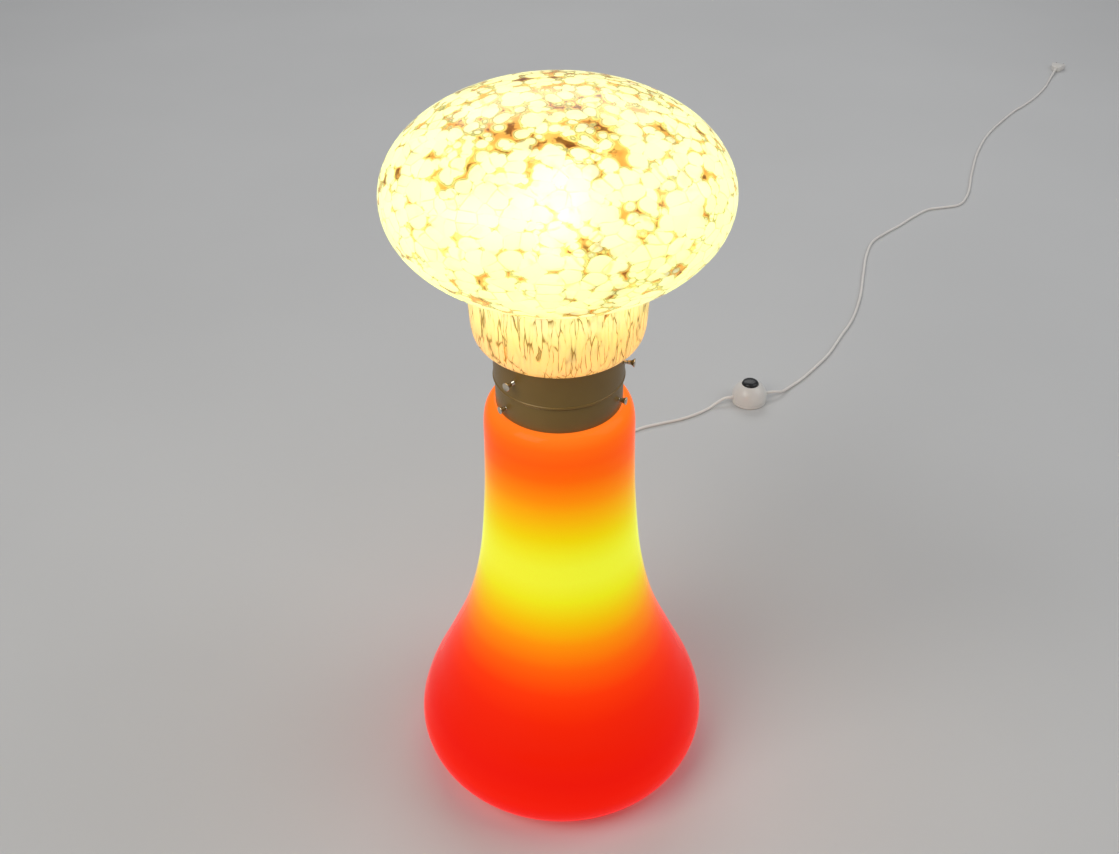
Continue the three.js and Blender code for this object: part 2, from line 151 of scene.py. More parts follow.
def lathe_mesh(name, profile, seg=64, closed=False, matrix=None, wobble=None):
    """Surface of revolution about Z from (radius, z) in mm, faces pointing out. closed joins the last point to the first."""
    pts = []
    for p in profile:
        q = (max(0.0, p[0]), p[1])
        if not pts or math.hypot(q[0] - pts[-1][0], q[1] - pts[-1][1]) > 1e-5:
            pts.append(q)
    if closed and math.hypot(pts[0][0] - pts[-1][0], pts[0][1] - pts[-1][1]) < 1e-5:
        pts.pop()
    n = len(pts)
    area = 0.0
    for i in range(n):
        (r0, z0), (r1, z1) = pts[i], pts[(i + 1) % n]
        area += r0 * z1 - r1 * z0
    if area < 0:
        pts.reverse()
    verts, rows = [], []
    for r, z in pts:
        if r < 1e-6:
            rows.append([len(verts)])
            verts.append((0.0, 0.0, z * MM))
        else:
            row = []
            for k in range(seg):
                a = 2 * math.pi * k / seg
                rr, zz = (r, z) if wobble is None else wobble(r, z, a)
                row.append(len(verts))
                verts.append((rr * math.cos(a) * MM, rr * math.sin(a) * MM, zz * MM))
            rows.append(row)
    faces = []
    last = n if closed else n - 1
    for i in range(last):
        a, b = rows[i], rows[(i + 1) % n]
        if len(a) == 1 and len(b) == 1:
            continue
        for k in range(seg):
            k2 = (k + 1) % seg
            if len(a) == 1:
                faces.append((a[0], b[k2], b[k]))
            elif len(b) == 1:
                faces.append((a[k], a[k2], b[0]))
            else:
                faces.append((a[k], a[k2], b[k2], b[k]))
    mesh = bpy.data.meshes.new(name)
    mesh.from_pydata(verts, [], faces)
    if matrix is not None:
        mesh.transform(matrix)
    mesh.update()
    return mesh


def lathe(name, profile, mat, seg=64, closed=False, matrix=None, wobble=None, sharp=None):
    ob = link(name, lathe_mesh(name, profile, seg, closed, matrix, wobble), mat)
    if sharp is not None:
        mark_sharp(ob, sharp)
    return ob


def mark_sharp(ob, degrees=35):
    me = ob.data
    bm = bmesh.new()
    bm.from_mesh(me)
    limit = math.radians(degrees)
    for e in bm.edges:
        e.smooth = not (len(e.link_faces) == 2 and e.calc_face_angle(0) > limit)
    bm.to_mesh(me)
    bm.free()


def cut_with(ob, cutters):
    """Boolean difference with temporary cutter meshes, applied."""
    for me in cutters:
        c = bpy.data.objects.new("cutter", me)
        scene.collection.objects.link(c)
        mod = ob.modifiers.new("cut", "BOOLEAN")
        mod.operation = "DIFFERENCE"
        mod.solver = "EXACT"
        mod.object = c
        dg = bpy.context.evaluated_depsgraph_get()
        new = bpy.data.meshes.new_from_object(ob.evaluated_get(dg))
        ob.modifiers.clear()
        old = ob.data
        ob.data = new
        bpy.data.meshes.remove(old)
        bpy.data.objects.remove(c)
        bpy.data.meshes.remove(me)
    return ob


def cylinder_mesh(r, z0, z1, seg=32, matrix=None):
    return lathe_mesh("cutter", [(0, z0), (r, z0), (r, z1), (0, z1)], seg, matrix=matrix)


def place(x=0, y=0, z=0, turn=0.0):
    return Matrix.Translation((x * MM, y * MM, z * MM)) @ Matrix.Rotation(turn, 4, "Z")


ALONG_X = Matrix.Rotation(math.radians(90), 4, "Y")
ALONG_Y = Matrix.Rotation(math.radians(-90), 4, "X")


def tube_object(name, points_m, radius_m, mat, resolution=4):
    cu = bpy.data.curves.new(name, "CURVE")
    cu.dimensions = "3D"
    cu.bevel_depth = radius_m
    cu.bevel_resolution = resolution
    cu.use_fill_caps = True
    sp = cu.splines.new("POLY")
    sp.points.add(len(points_m) - 1)
    for p, q in zip(sp.points, points_m):
        p.co = (*q, 1.0)
    sp.use_smooth = True
    cu.materials.append(mat)
    ob = bpy.data.objects.new(name, cu)
    scene.collection.objects.link(ob)
    return ob


def mesh_tube(name, points_m, radius_m, mat, resolution=4):
    ob = tube_object(name, points_m, radius_m, mat, resolution)
    dg = bpy.context.evaluated_depsgraph_get()
    me = bpy.data.meshes.new_from_object(ob.evaluated_get(dg))
    cu = ob.data
    bpy.data.objects.remove(ob)
    bpy.data.curves.remove(cu)
    me.name = name
    if not me.materials:
        me.materials.append(mat)
    out = bpy.data.objects.new(name, me)
    scene.collection.objects.link(out)
    me.shade_smooth()
    return out


# ------------------------------------------------------------------ node helpers
def srgb(r, g, b):
    def f(c):
        c /= 255.0
        return c / 12.92 if c <= 0.04045 else ((c + 0.055) / 1.055) ** 2.4
    return (f(r), f(g), f(b), 1.0)


class Mat:
    """A small builder round one Principled shader."""

    def __init__(self, name, **values):
        self.m = bpy.data.materials.new(name)
        self.m.use_nodes = True
        self.nt = self.m.node_tree
        self.nt.nodes.clear()
        self.out = self.nt.nodes.new("ShaderNodeOutputMaterial")
        self.p = self.nt.nodes.new("ShaderNodeBsdfPrincipled")
        self.link(self.p.outputs[0], self.out.inputs["Surface"])
        self.coord = self.nt.nodes.new("ShaderNodeTexCoord").outputs["Object"]
        for k, v in values.items():
            self.set(k.replace("_", " "), v)

    def set(self, name, value):
        self.p.inputs[name].default_value = value

    def link(self, a, b):
        self.nt.links.new(a, b)

    def _in(self, sock, v):
        if isinstance(v, bpy.types.NodeSocket):
            self.link(v, sock)
        else:
            sock.default_value = v

    def math(self, op, a, b=0.0, c=None, clamp=False):
        n = self.nt.nodes.new("ShaderNodeMath")
        n.operation = op
        n.use_clamp = clamp
        self._in(n.inputs[0], a)
        self._in(n.inputs[1], b)
        if c is not None:
            self._in(n.inputs[2], c)
        return n.outputs[0]

    def ramp(self, fac, stops, mode="LINEAR"):
        n = self.nt.nodes.new("ShaderNodeValToRGB")
        n.color_ramp.interpolation = mode
        els = n.color_ramp.elements
        while len(els) < len(stops):
            els.new(0.5)
        for e, (pos, col) in zip(els, stops):
            e.position = pos
        for e, (pos, col) in zip(els, stops):
            e.color = col
        self._in(n.inputs[0], fac)
        return n.outputs["Color"]

    def smooth(self, v, lo, hi, out0=0.0, out1=1.0):
        n = self.nt.nodes.new("ShaderNodeMapRange")
        n.interpolation_type = "SMOOTHSTEP"
        n.clamp = True
        self._in(n.inputs["Value"], v)
        n.inputs["From Min"].default_value = lo
        n.inputs["From Max"].default_value = hi
        n.inputs["To Min"].default_value = out0
        n.inputs["To Max"].default_value = out1
        return n.outputs["Result"]

    def map(self, v, lo, hi, out0=0.0, out1=1.0):
        n = self.nt.nodes.new("ShaderNodeMapRange")
        n.clamp = True
        self._in(n.inputs["Value"], v)
        n.inputs["From Min"].default_value = lo
        n.inputs["From Max"].default_value = hi
        n.inputs["To Min"].default_value = out0
        n.inputs["To Max"].default_value = out1
        return n.outputs["Result"]

    def mix(self, fac, a, b, mode="MIX"):
        n = self.nt.nodes.new("ShaderNodeMix")
        n.data_type = "RGBA"
        n.blend_type = mode
        self._in(n.inputs[0], fac)
        self._in(n.inputs[6], a)
        self._in(n.inputs[7], b)
        return n.outputs[2]

    def mapping(self, scale=(1, 1, 1), loc=(0, 0, 0), rot=(0, 0, 0), vec=None):
        n = self.nt.nodes.new("ShaderNodeMapping")
        n.inputs["Scale"].default_value = scale
        n.inputs["Location"].default_value = loc
        n.inputs["Rotation"].default_value = rot
        self.link(vec if vec is not None else self.coord, n.inputs["Vector"])
        return n.outputs[0]

    def noise(self, scale, detail=2.0, rough=0.5, vec=None, distortion=0.0):
        n = self.nt.nodes.new("ShaderNodeTexNoise")
        n.inputs["Scale"].default_value = scale
        n.inputs["Detail"].default_value = detail
        n.inputs["Roughness"].default_value = rough
        n.inputs["Distortion"].default_value = distortion
        self.link(vec if vec is not None else self.coord, n.inputs["Vector"])
        return n.outputs

    def voronoi(self, scale, feature="F1", vec=None, rand=1.0, smoothness=None):
        n = self.nt.nodes.new("ShaderNodeTexVoronoi")
        n.feature = feature
        n.inputs["Scale"].default_value = scale
        n.inputs["Randomness"].default_value = rand
        if smoothness is not None and "Smoothness" in n.inputs:
            n.inputs["Smoothness"].default_value = smoothness
        self.link(vec if vec is not None else self.coord, n.inputs["Vector"])
        return n.outputs

    def xyz(self, vec=None):
        n = self.nt.nodes.new("ShaderNodeSeparateXYZ")
        self.link(vec if vec is not None else self.coord, n.inputs[0])
        return n.outputs

    def combine(self, x, y, z):
        n = self.nt.nodes.new("ShaderNodeCombineXYZ")
        for i, v in enumerate((x, y, z)):
            self._in(n.inputs[i], v)
        return n.outputs[0]

    def vmath(self, op, a, b=None):
        n = self.nt.nodes.new("ShaderNodeVectorMath")
        n.operation = op
        self._in(n.inputs[0], a)
        if b is not None:
            self._in(n.inputs[1], b)
        return n.outputs[0]

    def bump(self, height, strength=0.2, distance=0.001):
        n = self.nt.nodes.new("ShaderNodeBump")
        n.inputs["Strength"].default_value = strength
        n.inputs["Distance"].default_value = distance
        self.link(height, n.inputs["Height"])
        self.link(n.outputs[0], self.p.inputs["Normal"])


def varied(m, lo, hi, scale, detail=3.0):
    """Base colour drifting between two colours."""
    n = m.noise(scale, detail, 0.55)
    m.link(m.ramp(n[0], [(0.35, lo), (0.65, hi)]), m.p.inputs["Base Color"])
    return n


# ------------------------------------------------------------------ materials
def base_glass_material():
    m = Mat("cased_orange_glass", Roughness=0.16, IOR=1.45, Specular_IOR_Level=0.06, Coat_Weight=0.07, Coat_Roughness=0.04, Coat_IOR=1.4)
    z = m.xyz()[2]
    wob = m.noise(3.2, 2.0, 0.5)[0]
    zz = m.math("ADD", z, m.map(wob, 0.3, 0.7, -0.006, 0.006))
    t = m.map(zz, 0.0, 0.53)
    # painted light: the emission is a painted glow of the lower bulb's light through the glass, set by height, yellow
    # and brightest at the bulb's height
    stops = [
        (0, (240, 34, 9)), (30, (244, 0, 0)), (60, (242, 19, 0)), (90, (232, 8, 0)), (125, (234, 23, 0)),
        (150, (239, 31, 0)), (180, (251, 55, 0)), (210, (252, 99, 0)), (240, (250, 151, 0)), (268, (239, 205, 0)),
        (295, (230, 246, 26)), (318, (233, 255, 55)), (337, (232, 255, 55)), (354, (231, 246, 36)), (372, (233, 225, 0)),
        (392, (241, 195, 0)), (420, (250, 145, 0)), (446, (251, 102, 0)), (466, (252, 86, 0)), (482, (252, 96, 0)),
        (496, (253, 120, 20)), (502, (255, 128, 44)), (523, (250, 120, 40)),
    ]
    glow = m.ramp(t, [(s / 530.0, srgb(*c)) for s, c in stops])
    grain = m.noise(900.0, 2.0, 0.6)[0]
    glow = m.mix(1.0, glow, m.ramp(grain, [(0.3, (0.93, 0.93, 0.93, 1)), (0.7, (1.0, 1.0, 1.0, 1))]), "MULTIPLY")
    m.link(glow, m.p.inputs["Emission Color"])
    m.set("Emission Strength", 0.86)
    # painted light: the base colour is also lighter and yellower at the height of the lower bulb, painted light from
    # the bulb; it also lightens towards the lip
    body = m.ramp(t, [(0.0, (0.34, 0.008, 0.002, 1)), (0.35, (0.36, 0.012, 0.002, 1)), (0.62, (0.4, 0.09, 0.004, 1)), (0.85, (0.4, 0.05, 0.003, 1)), (1.0, (0.45, 0.1, 0.02, 1))])
    m.link(body, m.p.inputs["Base Color"])
    rough = m.noise(60.0, 3.0, 0.6)[0]
    m.link(m.map(rough, 0.3, 0.7, 0.13, 0.2), m.p.inputs["Roughness"])
    m.bump(m.noise(14.0, 2.0, 0.5)[0], 0.12, 0.002)
    return m.m


def shade_material():
    m = Mat("spotted_glass", IOR=1.5, Specular_IOR_Level=0.4, Coat_Weight=0.15, Coat_Roughness=0.04, Coat_IOR=1.45)
    x, y, z = m.xyz()
    # spots on the bowl: two sizes of flattened rounds that run into each other
    warp = m.vmath("ADD", m.coord, m.vmath("MULTIPLY", m.vmath("SUBTRACT", m.noise(24.0, 2.0, 0.5)[1], (0.5, 0.5, 0.5)), (0.014, 0.014, 0.009)))
    cell = m.mapping((1.0, 1.0, 1.5), vec=warp)
    big = m.voronoi(60.0, "F1", cell, 0.95)
    edge = m.voronoi(60.0, "DISTANCE_TO_EDGE", cell, 0.95)[0]
    small = m.voronoi(96.0, "F1", m.mapping((1.0, 1.0, 1.0), (0.31, 0.17, 0.4), vec=cell), 1.0)
    tint = m.xyz(big[1])
    patch = m.noise(20.0, 3.0, 0.6, vec=m.mapping(loc=(0.37, 1.21, 0.53)))[0]
    top = m.smooth(z, 0.780, 0.812, 0.0, 0.09)
    low = m.smooth(z, 0.700, 0.660, 0.0, 0.05)
    thin = m.math("ADD", m.map(patch, 0.38, 0.70, -0.12, 0.045), m.math("ADD", top, low))
    r1 = m.math("SUBTRACT", m.map(tint[0], 0.0, 1.0, 0.50, 0.66), thin)
    r2 = m.math("SUBTRACT", m.map(m.xyz(small[1])[0], 0.0, 1.0, 0.34, 0.66), m.math("MULTIPLY", thin, 1.2))
    s1 = m.math("SUBTRACT", r1, big[0])
    s2 = m.math("MULTIPLY", m.math("SUBTRACT", r2, small[0]), 0.58)
    s = m.math("MAXIMUM", s1, s2)                             # >0 inside a spot
    spotm = m.smooth(s, -0.03, 0.03)
    fine = m.noise(46.0, 3.0, 0.6)[0]
    seam = m.math("MULTIPLY", m.smooth(edge, 0.06, 0.01), m.smooth(fine, 0.44, 0.60, 0.05, 0.7))
    rim = m.math("MULTIPLY", m.smooth(m.math("ABSOLUTE", m.math("SUBTRACT", s, 0.012)), 0.045, 0.0), 0.95)
    line = m.math("MAXIMUM", seam, rim)
    line = m.math("MULTIPLY", line, m.map(thin, -0.08, 0.06, 0.62, 1.0))
    deep = m.smooth(s, -0.045, -0.08)
    dark = m.math("MULTIPLY", m.smooth(fine, 0.47, 0.54), m.smooth(s, -0.08, -0.14))
    # streaks on the neck
    ncoord = m.mapping((1.0, 1.0, 0.12), vec=m.vmath("ADD", m.coord, m.vmath("MULTIPLY", m.vmath("SUBTRACT", m.noise(30.0, 2.0, 0.5)[1], (0.5, 0.5, 0.5)), (0.008, 0.008, 0.03))))
    ne = m.voronoi(205.0, "DISTANCE_TO_EDGE", ncoord, 1.0)[0]
    nf = m.voronoi(205.0, "F1", ncoord, 1.0)[0]
    npatch = m.noise(34.0, 2.0, 0.5, vec=m.mapping((1, 1, 0.5)))[0]
    ngap = m.math("SUBTRACT", nf, m.map(npatch, 0.45, 0.72, 1.05, 0.60))
    nline = m.math("MULTIPLY", m.smooth(ne, 0.12, 0.0), m.smooth(m.noise(95.0, 3.0, 0.6, vec=m.mapping((1, 1, 0.35)))[0], 0.42, 0.58, 0.12, 1.0))
    ndark = m.math("MULTIPLY", m.smooth(ngap, 0.06, 0.12), m.smooth(fine, 0.46, 0.56))
    neck = m.smooth(z, 0.654, 0.643)
    # light in the glass
    t = m.map(z, 0.54, 0.83)
    def at(v): return (v - 540) / 290.0
    spot_light = m.ramp(t, [
        (at(545), srgb(220, 130, 60)), (at(571), srgb(240, 172, 84)), (at(589), srgb(246, 186, 86)), (at(603), srgb(248, 200, 96)),
        (at(618), srgb(250, 224, 122)), (at(632), srgb(251, 244, 168)), (at(650), srgb(252, 250, 186)), (at(690), srgb(251, 252, 192)),
        (at(725), srgb(250, 252, 190)), (at(770), srgb(252, 252, 198)), (at(800), srgb(252, 249, 192)), (at(821), srgb(251, 240, 168)),
    ])
    drift = m.math("ADD", m.math("MULTIPLY", tint[1], 0.55), m.math("MULTIPLY", m.noise(10.0, 1.0, 0.5)[0], 0.6))
    cool = m.ramp(m.smooth(drift, 0.4, 0.85), [(0.0, (1.0, 1.0, 1.0, 1)), (1.0, (0.92, 1.0, 0.80, 1))])
    spot_light = m.mix(1.0, spot_light, cool, "MULTIPLY")
    olive = m.mix(neck, srgb(112, 98, 20), srgb(128, 92, 20))
    amber = m.mix(neck, srgb(226, 150, 62), srgb(222, 146, 52))
    brown = m.mix(neck, srgb(120, 66, 14), srgb(150, 92, 24))
    lit = m.mix(m.math("SUBTRACT", 1.0, spotm), spot_light, srgb(206, 196, 104))
    lit = m.mix(deep, lit, amber)
    lit = m.mix(line, lit, olive)
    lit = m.mix(m.math("MULTIPLY", dark, 0.9), lit, brown)
    nlit = m.mix(nline, spot_light, olive)
    nlit = m.mix(m.smooth(ngap, -0.02, 0.03, 0.0, 0.75), nlit, amber)
    nlit = m.mix(m.math("MULTIPLY", ndark, 0.8), nlit, brown)
    glow = m.mix(neck, lit, nlit)
    m.link(glow, m.p.inputs["Emission Color"])
    m.set("Emission Strength", 0.52)
    body = m.mix(m.math("SUBTRACT", 1.0, spotm), (0.95, 0.95, 0.60, 1), (0.66, 0.6, 0.25, 1))
    body = m.mix(deep, body, (0.62, 0.34, 0.09, 1))
    body = m.mix(m.math("MULTIPLY", line, 0.95), body, (0.20, 0.16, 0.02, 1))
    body = m.mix(m.math("MULTIPLY", dark, 0.95), body, (0.10, 0.03, 0.004, 1))
    nbody = m.mix(nline, (0.92, 0.80, 0.50, 1), (0.24, 0.15, 0.02, 1))
    nbody = m.mix(m.smooth(ngap, -0.02, 0.03, 0.0, 0.8), nbody, (0.55, 0.26, 0.06, 1))
    nbody = m.mix(m.math("MULTIPLY", ndark, 0.9), nbody, (0.14, 0.05, 0.006, 1))
    m.link(m.mix(neck, body, nbody), m.p.inputs["Base Color"])
    # clear amber gaps let more of the inside through than the white spots do
    covered = m.mix(neck, spotm, m.smooth(ngap, -0.02, 0.03, 1.0, 0.0))
    m.link(m.map(covered, 0.0, 1.0, 0.16, 0.40), m.p.inputs["Roughness"])
    m.link(m.map(covered, 0.0, 1.0, 0.45, 0.36), m.p.inputs["Transmission Weight"])
    m.bump(m.math("ADD", m.math("MULTIPLY", covered, 0.5), m.math("MULTIPLY", m.noise(16.0, 2.0, 0.5)[0], 1.2)), 0.2, 0.001)
    return m.m


def enamel_material():
    m = Mat("khaki_enamel", Metallic=0.25, Roughness=0.42, Coat_Weight=0.25, Coat_Roughness=0.2)
    varied(m, srgb(122, 94, 38), srgb(136, 107, 46), 9.0)
    fine = m.noise(700.0, 3.0, 0.6)[0]
    m.link(m.map(fine, 0.3, 0.7, 0.36, 0.5), m.p.inputs["Roughness"])
    m.bump(fine, 0.08, 0.0004)
    return m.m


def metal_material(name, lo, hi, rough=(0.18, 0.34), scale=120.0, stretch=(1, 1, 1)):
    m = Mat(name, Metallic=1.0)
    n = m.noise(scale, 4.0, 0.6, vec=m.mapping(stretch))[0]
    m.link(m.ramp(n, [(0.3, lo), (0.7, hi)]), m.p.inputs["Base Color"])
    m.link(m.map(n, 0.25, 0.75, *rough), m.p.inputs["Roughness"])
    m.bump(n, 0.06, 0.0003)
    return m.m


def plastic_material(name, lo, hi, rough=(0.3, 0.42), scale=14.0, grain=900.0, bump=0.08, coat=0.0):
    m = Mat(name, Coat_Weight=coat, Coat_Roughness=0.15)
    varied(m, lo, hi, scale)
    g = m.noise(grain, 3.0, 0.6)[0]
    m.link(m.map(g, 0.3, 0.7, *rough), m.p.inputs["Roughness"])
    m.bump(g, bump, 0.0004)
    return m.m


def bulb_material():
    m = Mat("opal_bulb", Roughness=0.25)
    z = m.xyz()[2]
    n = m.noise(26.0, 2.0, 0.5)[0]
    m.link(m.ramp(n, [(0.3, (1.0, 0.84, 0.56, 1)), (0.7, (1.0, 0.9, 0.68, 1))]), m.p.inputs["Emission Color"])
    m.set("Emission Strength", 9.0)
    m.link(m.ramp(n, [(0.3, (0.9, 0.86, 0.76, 1)), (0.7, (0.94, 0.9, 0.82, 1))]), m.p.inputs["Base Color"])
    return m.m


MAT_BASE = base_glass_material()
MAT_SHADE = shade_material()
MAT_ENAMEL = enamel_material()
MAT_NICKEL = metal_material("nickel_brass", (0.62, 0.54, 0.42, 1), (0.78, 0.7, 0.58, 1), (0.14, 0.26), 160.0)
MAT_BRASS = metal_material("raw_brass", (0.55, 0.38, 0.14, 1), (0.72, 0.53, 0.24, 1))
MAT_STEEL = metal_material("zinc_steel", (0.5, 0.51, 0.52, 1), (0.64, 0.65, 0.66, 1), (0.28, 0.45))
MAT_ALU = metal_material("bulb_cap_metal", (0.62, 0.62, 0.63, 1), (0.76, 0.76, 0.77, 1), (0.22, 0.36))
MAT_CERAMIC = plastic_material("steatite", (0.72, 0.68, 0.6, 1), (0.82, 0.79, 0.72, 1), (0.45, 0.6), 30.0, 500.0, 0.15)
MAT_PHENOLIC = plastic_material("black_phenolic", (0.012, 0.011, 0.01, 1), (0.026, 0.023, 0.021, 1), (0.26, 0.4), 20.0, 600.0, 0.1)
MAT_BLACK = plastic_material("black_button", (0.008, 0.008, 0.008, 1), (0.016, 0.016, 0.017, 1), (0.24, 0.36), 30.0, 1200.0, 0.06)
MAT_WHITE = plastic_material("ivory_plastic", (0.8, 0.76, 0.7, 1), (0.87, 0.84, 0.78, 1), (0.26, 0.38), 18.0, 1100.0, 0.08, 0.2)
MAT_CORD = plastic_material("white_vinyl", (0.84, 0.79, 0.73, 1), (0.9, 0.86, 0.8, 1), (0.4, 0.52), 9.0, 700.0, 0.15)
MAT_RUBBER = plastic_material("pale_rubber", (0.6, 0.57, 0.51, 1), (0.68, 0.65, 0.59, 1), (0.6, 0.75), 25.0, 500.0, 0.2)
MAT_BULB = bulb_material()


def clear_material():
    m = Mat("clear_stem_glass", IOR=1.5, Transmission_Weight=1.0)
    n = m.noise(60.0, 2.0, 0.5)[0]
    m.link(m.ramp(n, [(0.3, (0.9, 0.93, 0.94, 1)), (0.7, (0.96, 0.98, 0.98, 1))]), m.p.inputs["Base Color"])
    m.link(m.map(n, 0.3, 0.7, 0.03, 0.08), m.p.inputs["Roughness"])
    return m.m


MAT_CLEAR = clear_material()

# ------------------------------------------------------------------ cords, first of all the pieces
CORD_R = 2.5
CORD_Z = 2.8
ENTRY_Z = 24.0
SWITCH_AT = (327.0, 703.0)
SWITCH_TURN = math.radians(12)
SWITCH_STUB = 33.0
SWITCH_CORD_Z = 11.5
PLUG_AT = (1376.0, 2262.0)
PLUG_DIR = math.atan2(107, 63)
PLUG_Z = 6.85


def stub(s, out=0.0):
    d = s * (SWITCH_STUB + 0.3 + out)
    return (SWITCH_AT[0] + d * math.cos(SWITCH_TURN), SWITCH_AT[1] + d * math.sin(SWITCH_TURN), SWITCH_CORD_Z)


def plug_back(d, z):
    return (PLUG_AT[0] - d * math.cos(PLUG_DIR), PLUG_AT[1] - d * math.sin(PLUG_DIR), z)


LAMP_SIDE = [
    (0, 186.4, ENTRY_Z), (0, 193, ENTRY_Z), (0, 205, 22.4), (0.5, 222, 16), (2, 245, 8), (4, 280, CORD_Z), (9, 340, CORD_Z),
    (19, 410, CORD_Z), (39, 485, CORD_Z), (70, 549, CORD_Z), (102, 595, CORD_Z), (135, 620, CORD_Z),
    (171, 634, CORD_Z), (206, 646, CORD_Z), (236, 662, CORD_Z), (256, 677, CORD_Z), (270, 687.5, 6.5), stub(-1, 10), stub(-1),
]
WALL_SIDE = [
    stub(1), stub(1, 10), (386, 720, 6.5), (403, 738, CORD_Z), (428, 763, CORD_Z), (456, 797, CORD_Z), (491, 844, CORD_Z),
    (522, 899, CORD_Z), (559, 966, CORD_Z), (590, 1047, CORD_Z), (616, 1140, CORD_Z), (640, 1223, CORD_Z),
    (665, 1279, CORD_Z), (699, 1316, CORD_Z), (738, 1352, CORD_Z), (779, 1394, CORD_Z), (820, 1428, CORD_Z),
    (858, 1438, CORD_Z), (893, 1450, CORD_Z), (925, 1498, CORD_Z), (966, 1609, CORD_Z), (1015, 1733, CORD_Z),
    (1074, 1845, CORD_Z), (1144, 1942, CORD_Z), (1183, 1991, CORD_Z), (1218, 2028, CORD_Z), (1246, 2059, CORD_Z), (1276, 2097, CORD_Z), (1320, 2162, CORD_Z),
    plug_back(30, 4), plug_back(8, PLUG_Z), plug_back(0, PLUG_Z),
]


def cord_curve(name, route):
    pts = [(v.x * MM, v.y * MM, max(v.z, CORD_Z) * MM) for v in catmull(route, 6.0)]
    length = sum((Vector(b) - Vector(a)).length for a, b in zip(pts, pts[1:]))
    return tube_object(name, pts, CORD_R * MM, MAT_CORD, 4), length


cord_a, LEN_A = cord_curve("cord_from_lamp", LAMP_SIDE)
cord_b, LEN_B = cord_curve("cord_to_plug", WALL_SIDE)
for ob, node in ((cord_a, "cord_lamp_to_switch"), (cord_b, "cord_switch_to_plug")):
    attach(ob, "base")
    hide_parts(node)

PIECES = {}


def piece(ob, body, *nodes, slot=None):
    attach(ob, body)
    if nodes:
        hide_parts(*nodes)
    PIECES[ob.name] = ob
    return ob


# ------------------------------------------------------------------ base glass
def base_glass():
    R0, F = 118.0, 51.0
    out = [(0, 8), (30, 7.9), (52, 6.8), (62, 5.2), (69, 2.2), (74, 0.4), (80, 0)]
    out = spline2(out, 3.0) + [(96, 0), (108, 0)]
    arc = [(R0 + F * math.sin(a), F * (1 - math.cos(a))) for a in [math.radians(v) for v in range(0, 91, 5)]]
    upper = spline2([
        (168.9, 54), (167.6, 64), (164.3, 76), (159.6, 90), (153.2, 105), (146, 120), (139.3, 135), (132.6, 150),
        (119.5, 180), (108.5, 210), (99.9, 240), (93.2, 270), (88.1, 300), (84.7, 330), (82.2, 360), (80.1, 390),
        (78.9, 420), (78.2, 450), (78, 467), (77.4, 480), (75.3, 490.5), (71.4, 497.2), (66.5, 500.6), (62, 501.2),
    ], 4.0)
    mouth = rounded([(62, 501.2, 0), (57, 501.2), (54, 504), (54, 523), (50.5, 523), (50.5, 499)], 1.5, 4)
    inner = spline2([
        (50.5, 499), (56, 497.6), (63, 495.5), (70.5, 487), (73.3, 470), (75, 400), (78.5, 345), (83.8, 300),
        (94.8, 240), (114.2, 180), (141.5, 120), (155, 90), (162.5, 66), (164, 51), (158.6, 29.4), (142.4, 12), (118, 5),
    ], 7.0)
    floor_ = [(96, 5), (78, 5), (70, 7), (61, 11), (40, 12.6), (0, 13)]
    prof = out + arc + upper + mouth[1:] + inner + floor_
    ob = lathe("base_glass_body", prof, MAT_BASE, seg=128)
    hole = cylinder_mesh(6.0, 132, 190, 40, matrix=Matrix.Translation((0, 0, ENTRY_Z * MM)) @ ALONG_Y)
    cut_with(ob, [hole])
    mark_sharp(ob, 50)
    return ob


piece(base_glass(), "base", "base_glass", slot="base_glass")

bush = lathe("entry_bush", rounded([
    (0, 143), (7.5, 143, 0.8), (7.5, 146, 0.8), (5.7, 147), (5.7, 167.8, 0.5), (4.6, 169.2), (4.6, 171), (3.95, 171.4), (3.95, 172.6), (4.4, 173), (4.4, 174.8), (3.75, 175.2),
    (3.75, 176.4), (4.1, 176.8), (4.1, 178.6), (3.5, 179), (3.5, 180.2), (3.75, 180.6), (3.6, 183), (3.1, 186), (0, 186)], 0.3, 2), MAT_RUBBER, 40,
    matrix=Matrix.Translation((0, 0, ENTRY_Z * MM)) @ ALONG_Y, sharp=40)
piece(bush, "base", "cord_grommet", slot="rubber")

lead_pts = [tuple(v * MM) for v in catmull([
    (0, 142.6, 24), (0, 138, 24), (0, 131, 25), (0, 119, 34), (0, 108, 58), (0, 92, 105), (0, 76, 160), (0, 61, 220),
    (0, 50, 280), (0, 45.5, 330), (0, 44, 400), (0, 43.5, 460), (0, 43, 488), (0, 42, 503), (0, 40, 512), (0, 35.5, 517.2), (0, 31.5, 518), (0, 28.4, 518),
], 4.0)]
lead = mesh_tube("lead_inside_base", lead_pts, 2.3 * MM, MAT_CORD, 3)
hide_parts("inner_lead")
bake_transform(lead)


# ------------------------------------------------------------------ collar
def screw_cutters(angles, z, r0, r1, r=2.35):
    out = []
    for a in angles:
        t = math.radians(a - 90)
        out.append(cylinder_mesh(r, r0, r1, 24, matrix=Matrix.Translation((0, 0, z * MM)) @ Matrix.Rotation(t, 4, "Z") @ ALONG_X))
    return out


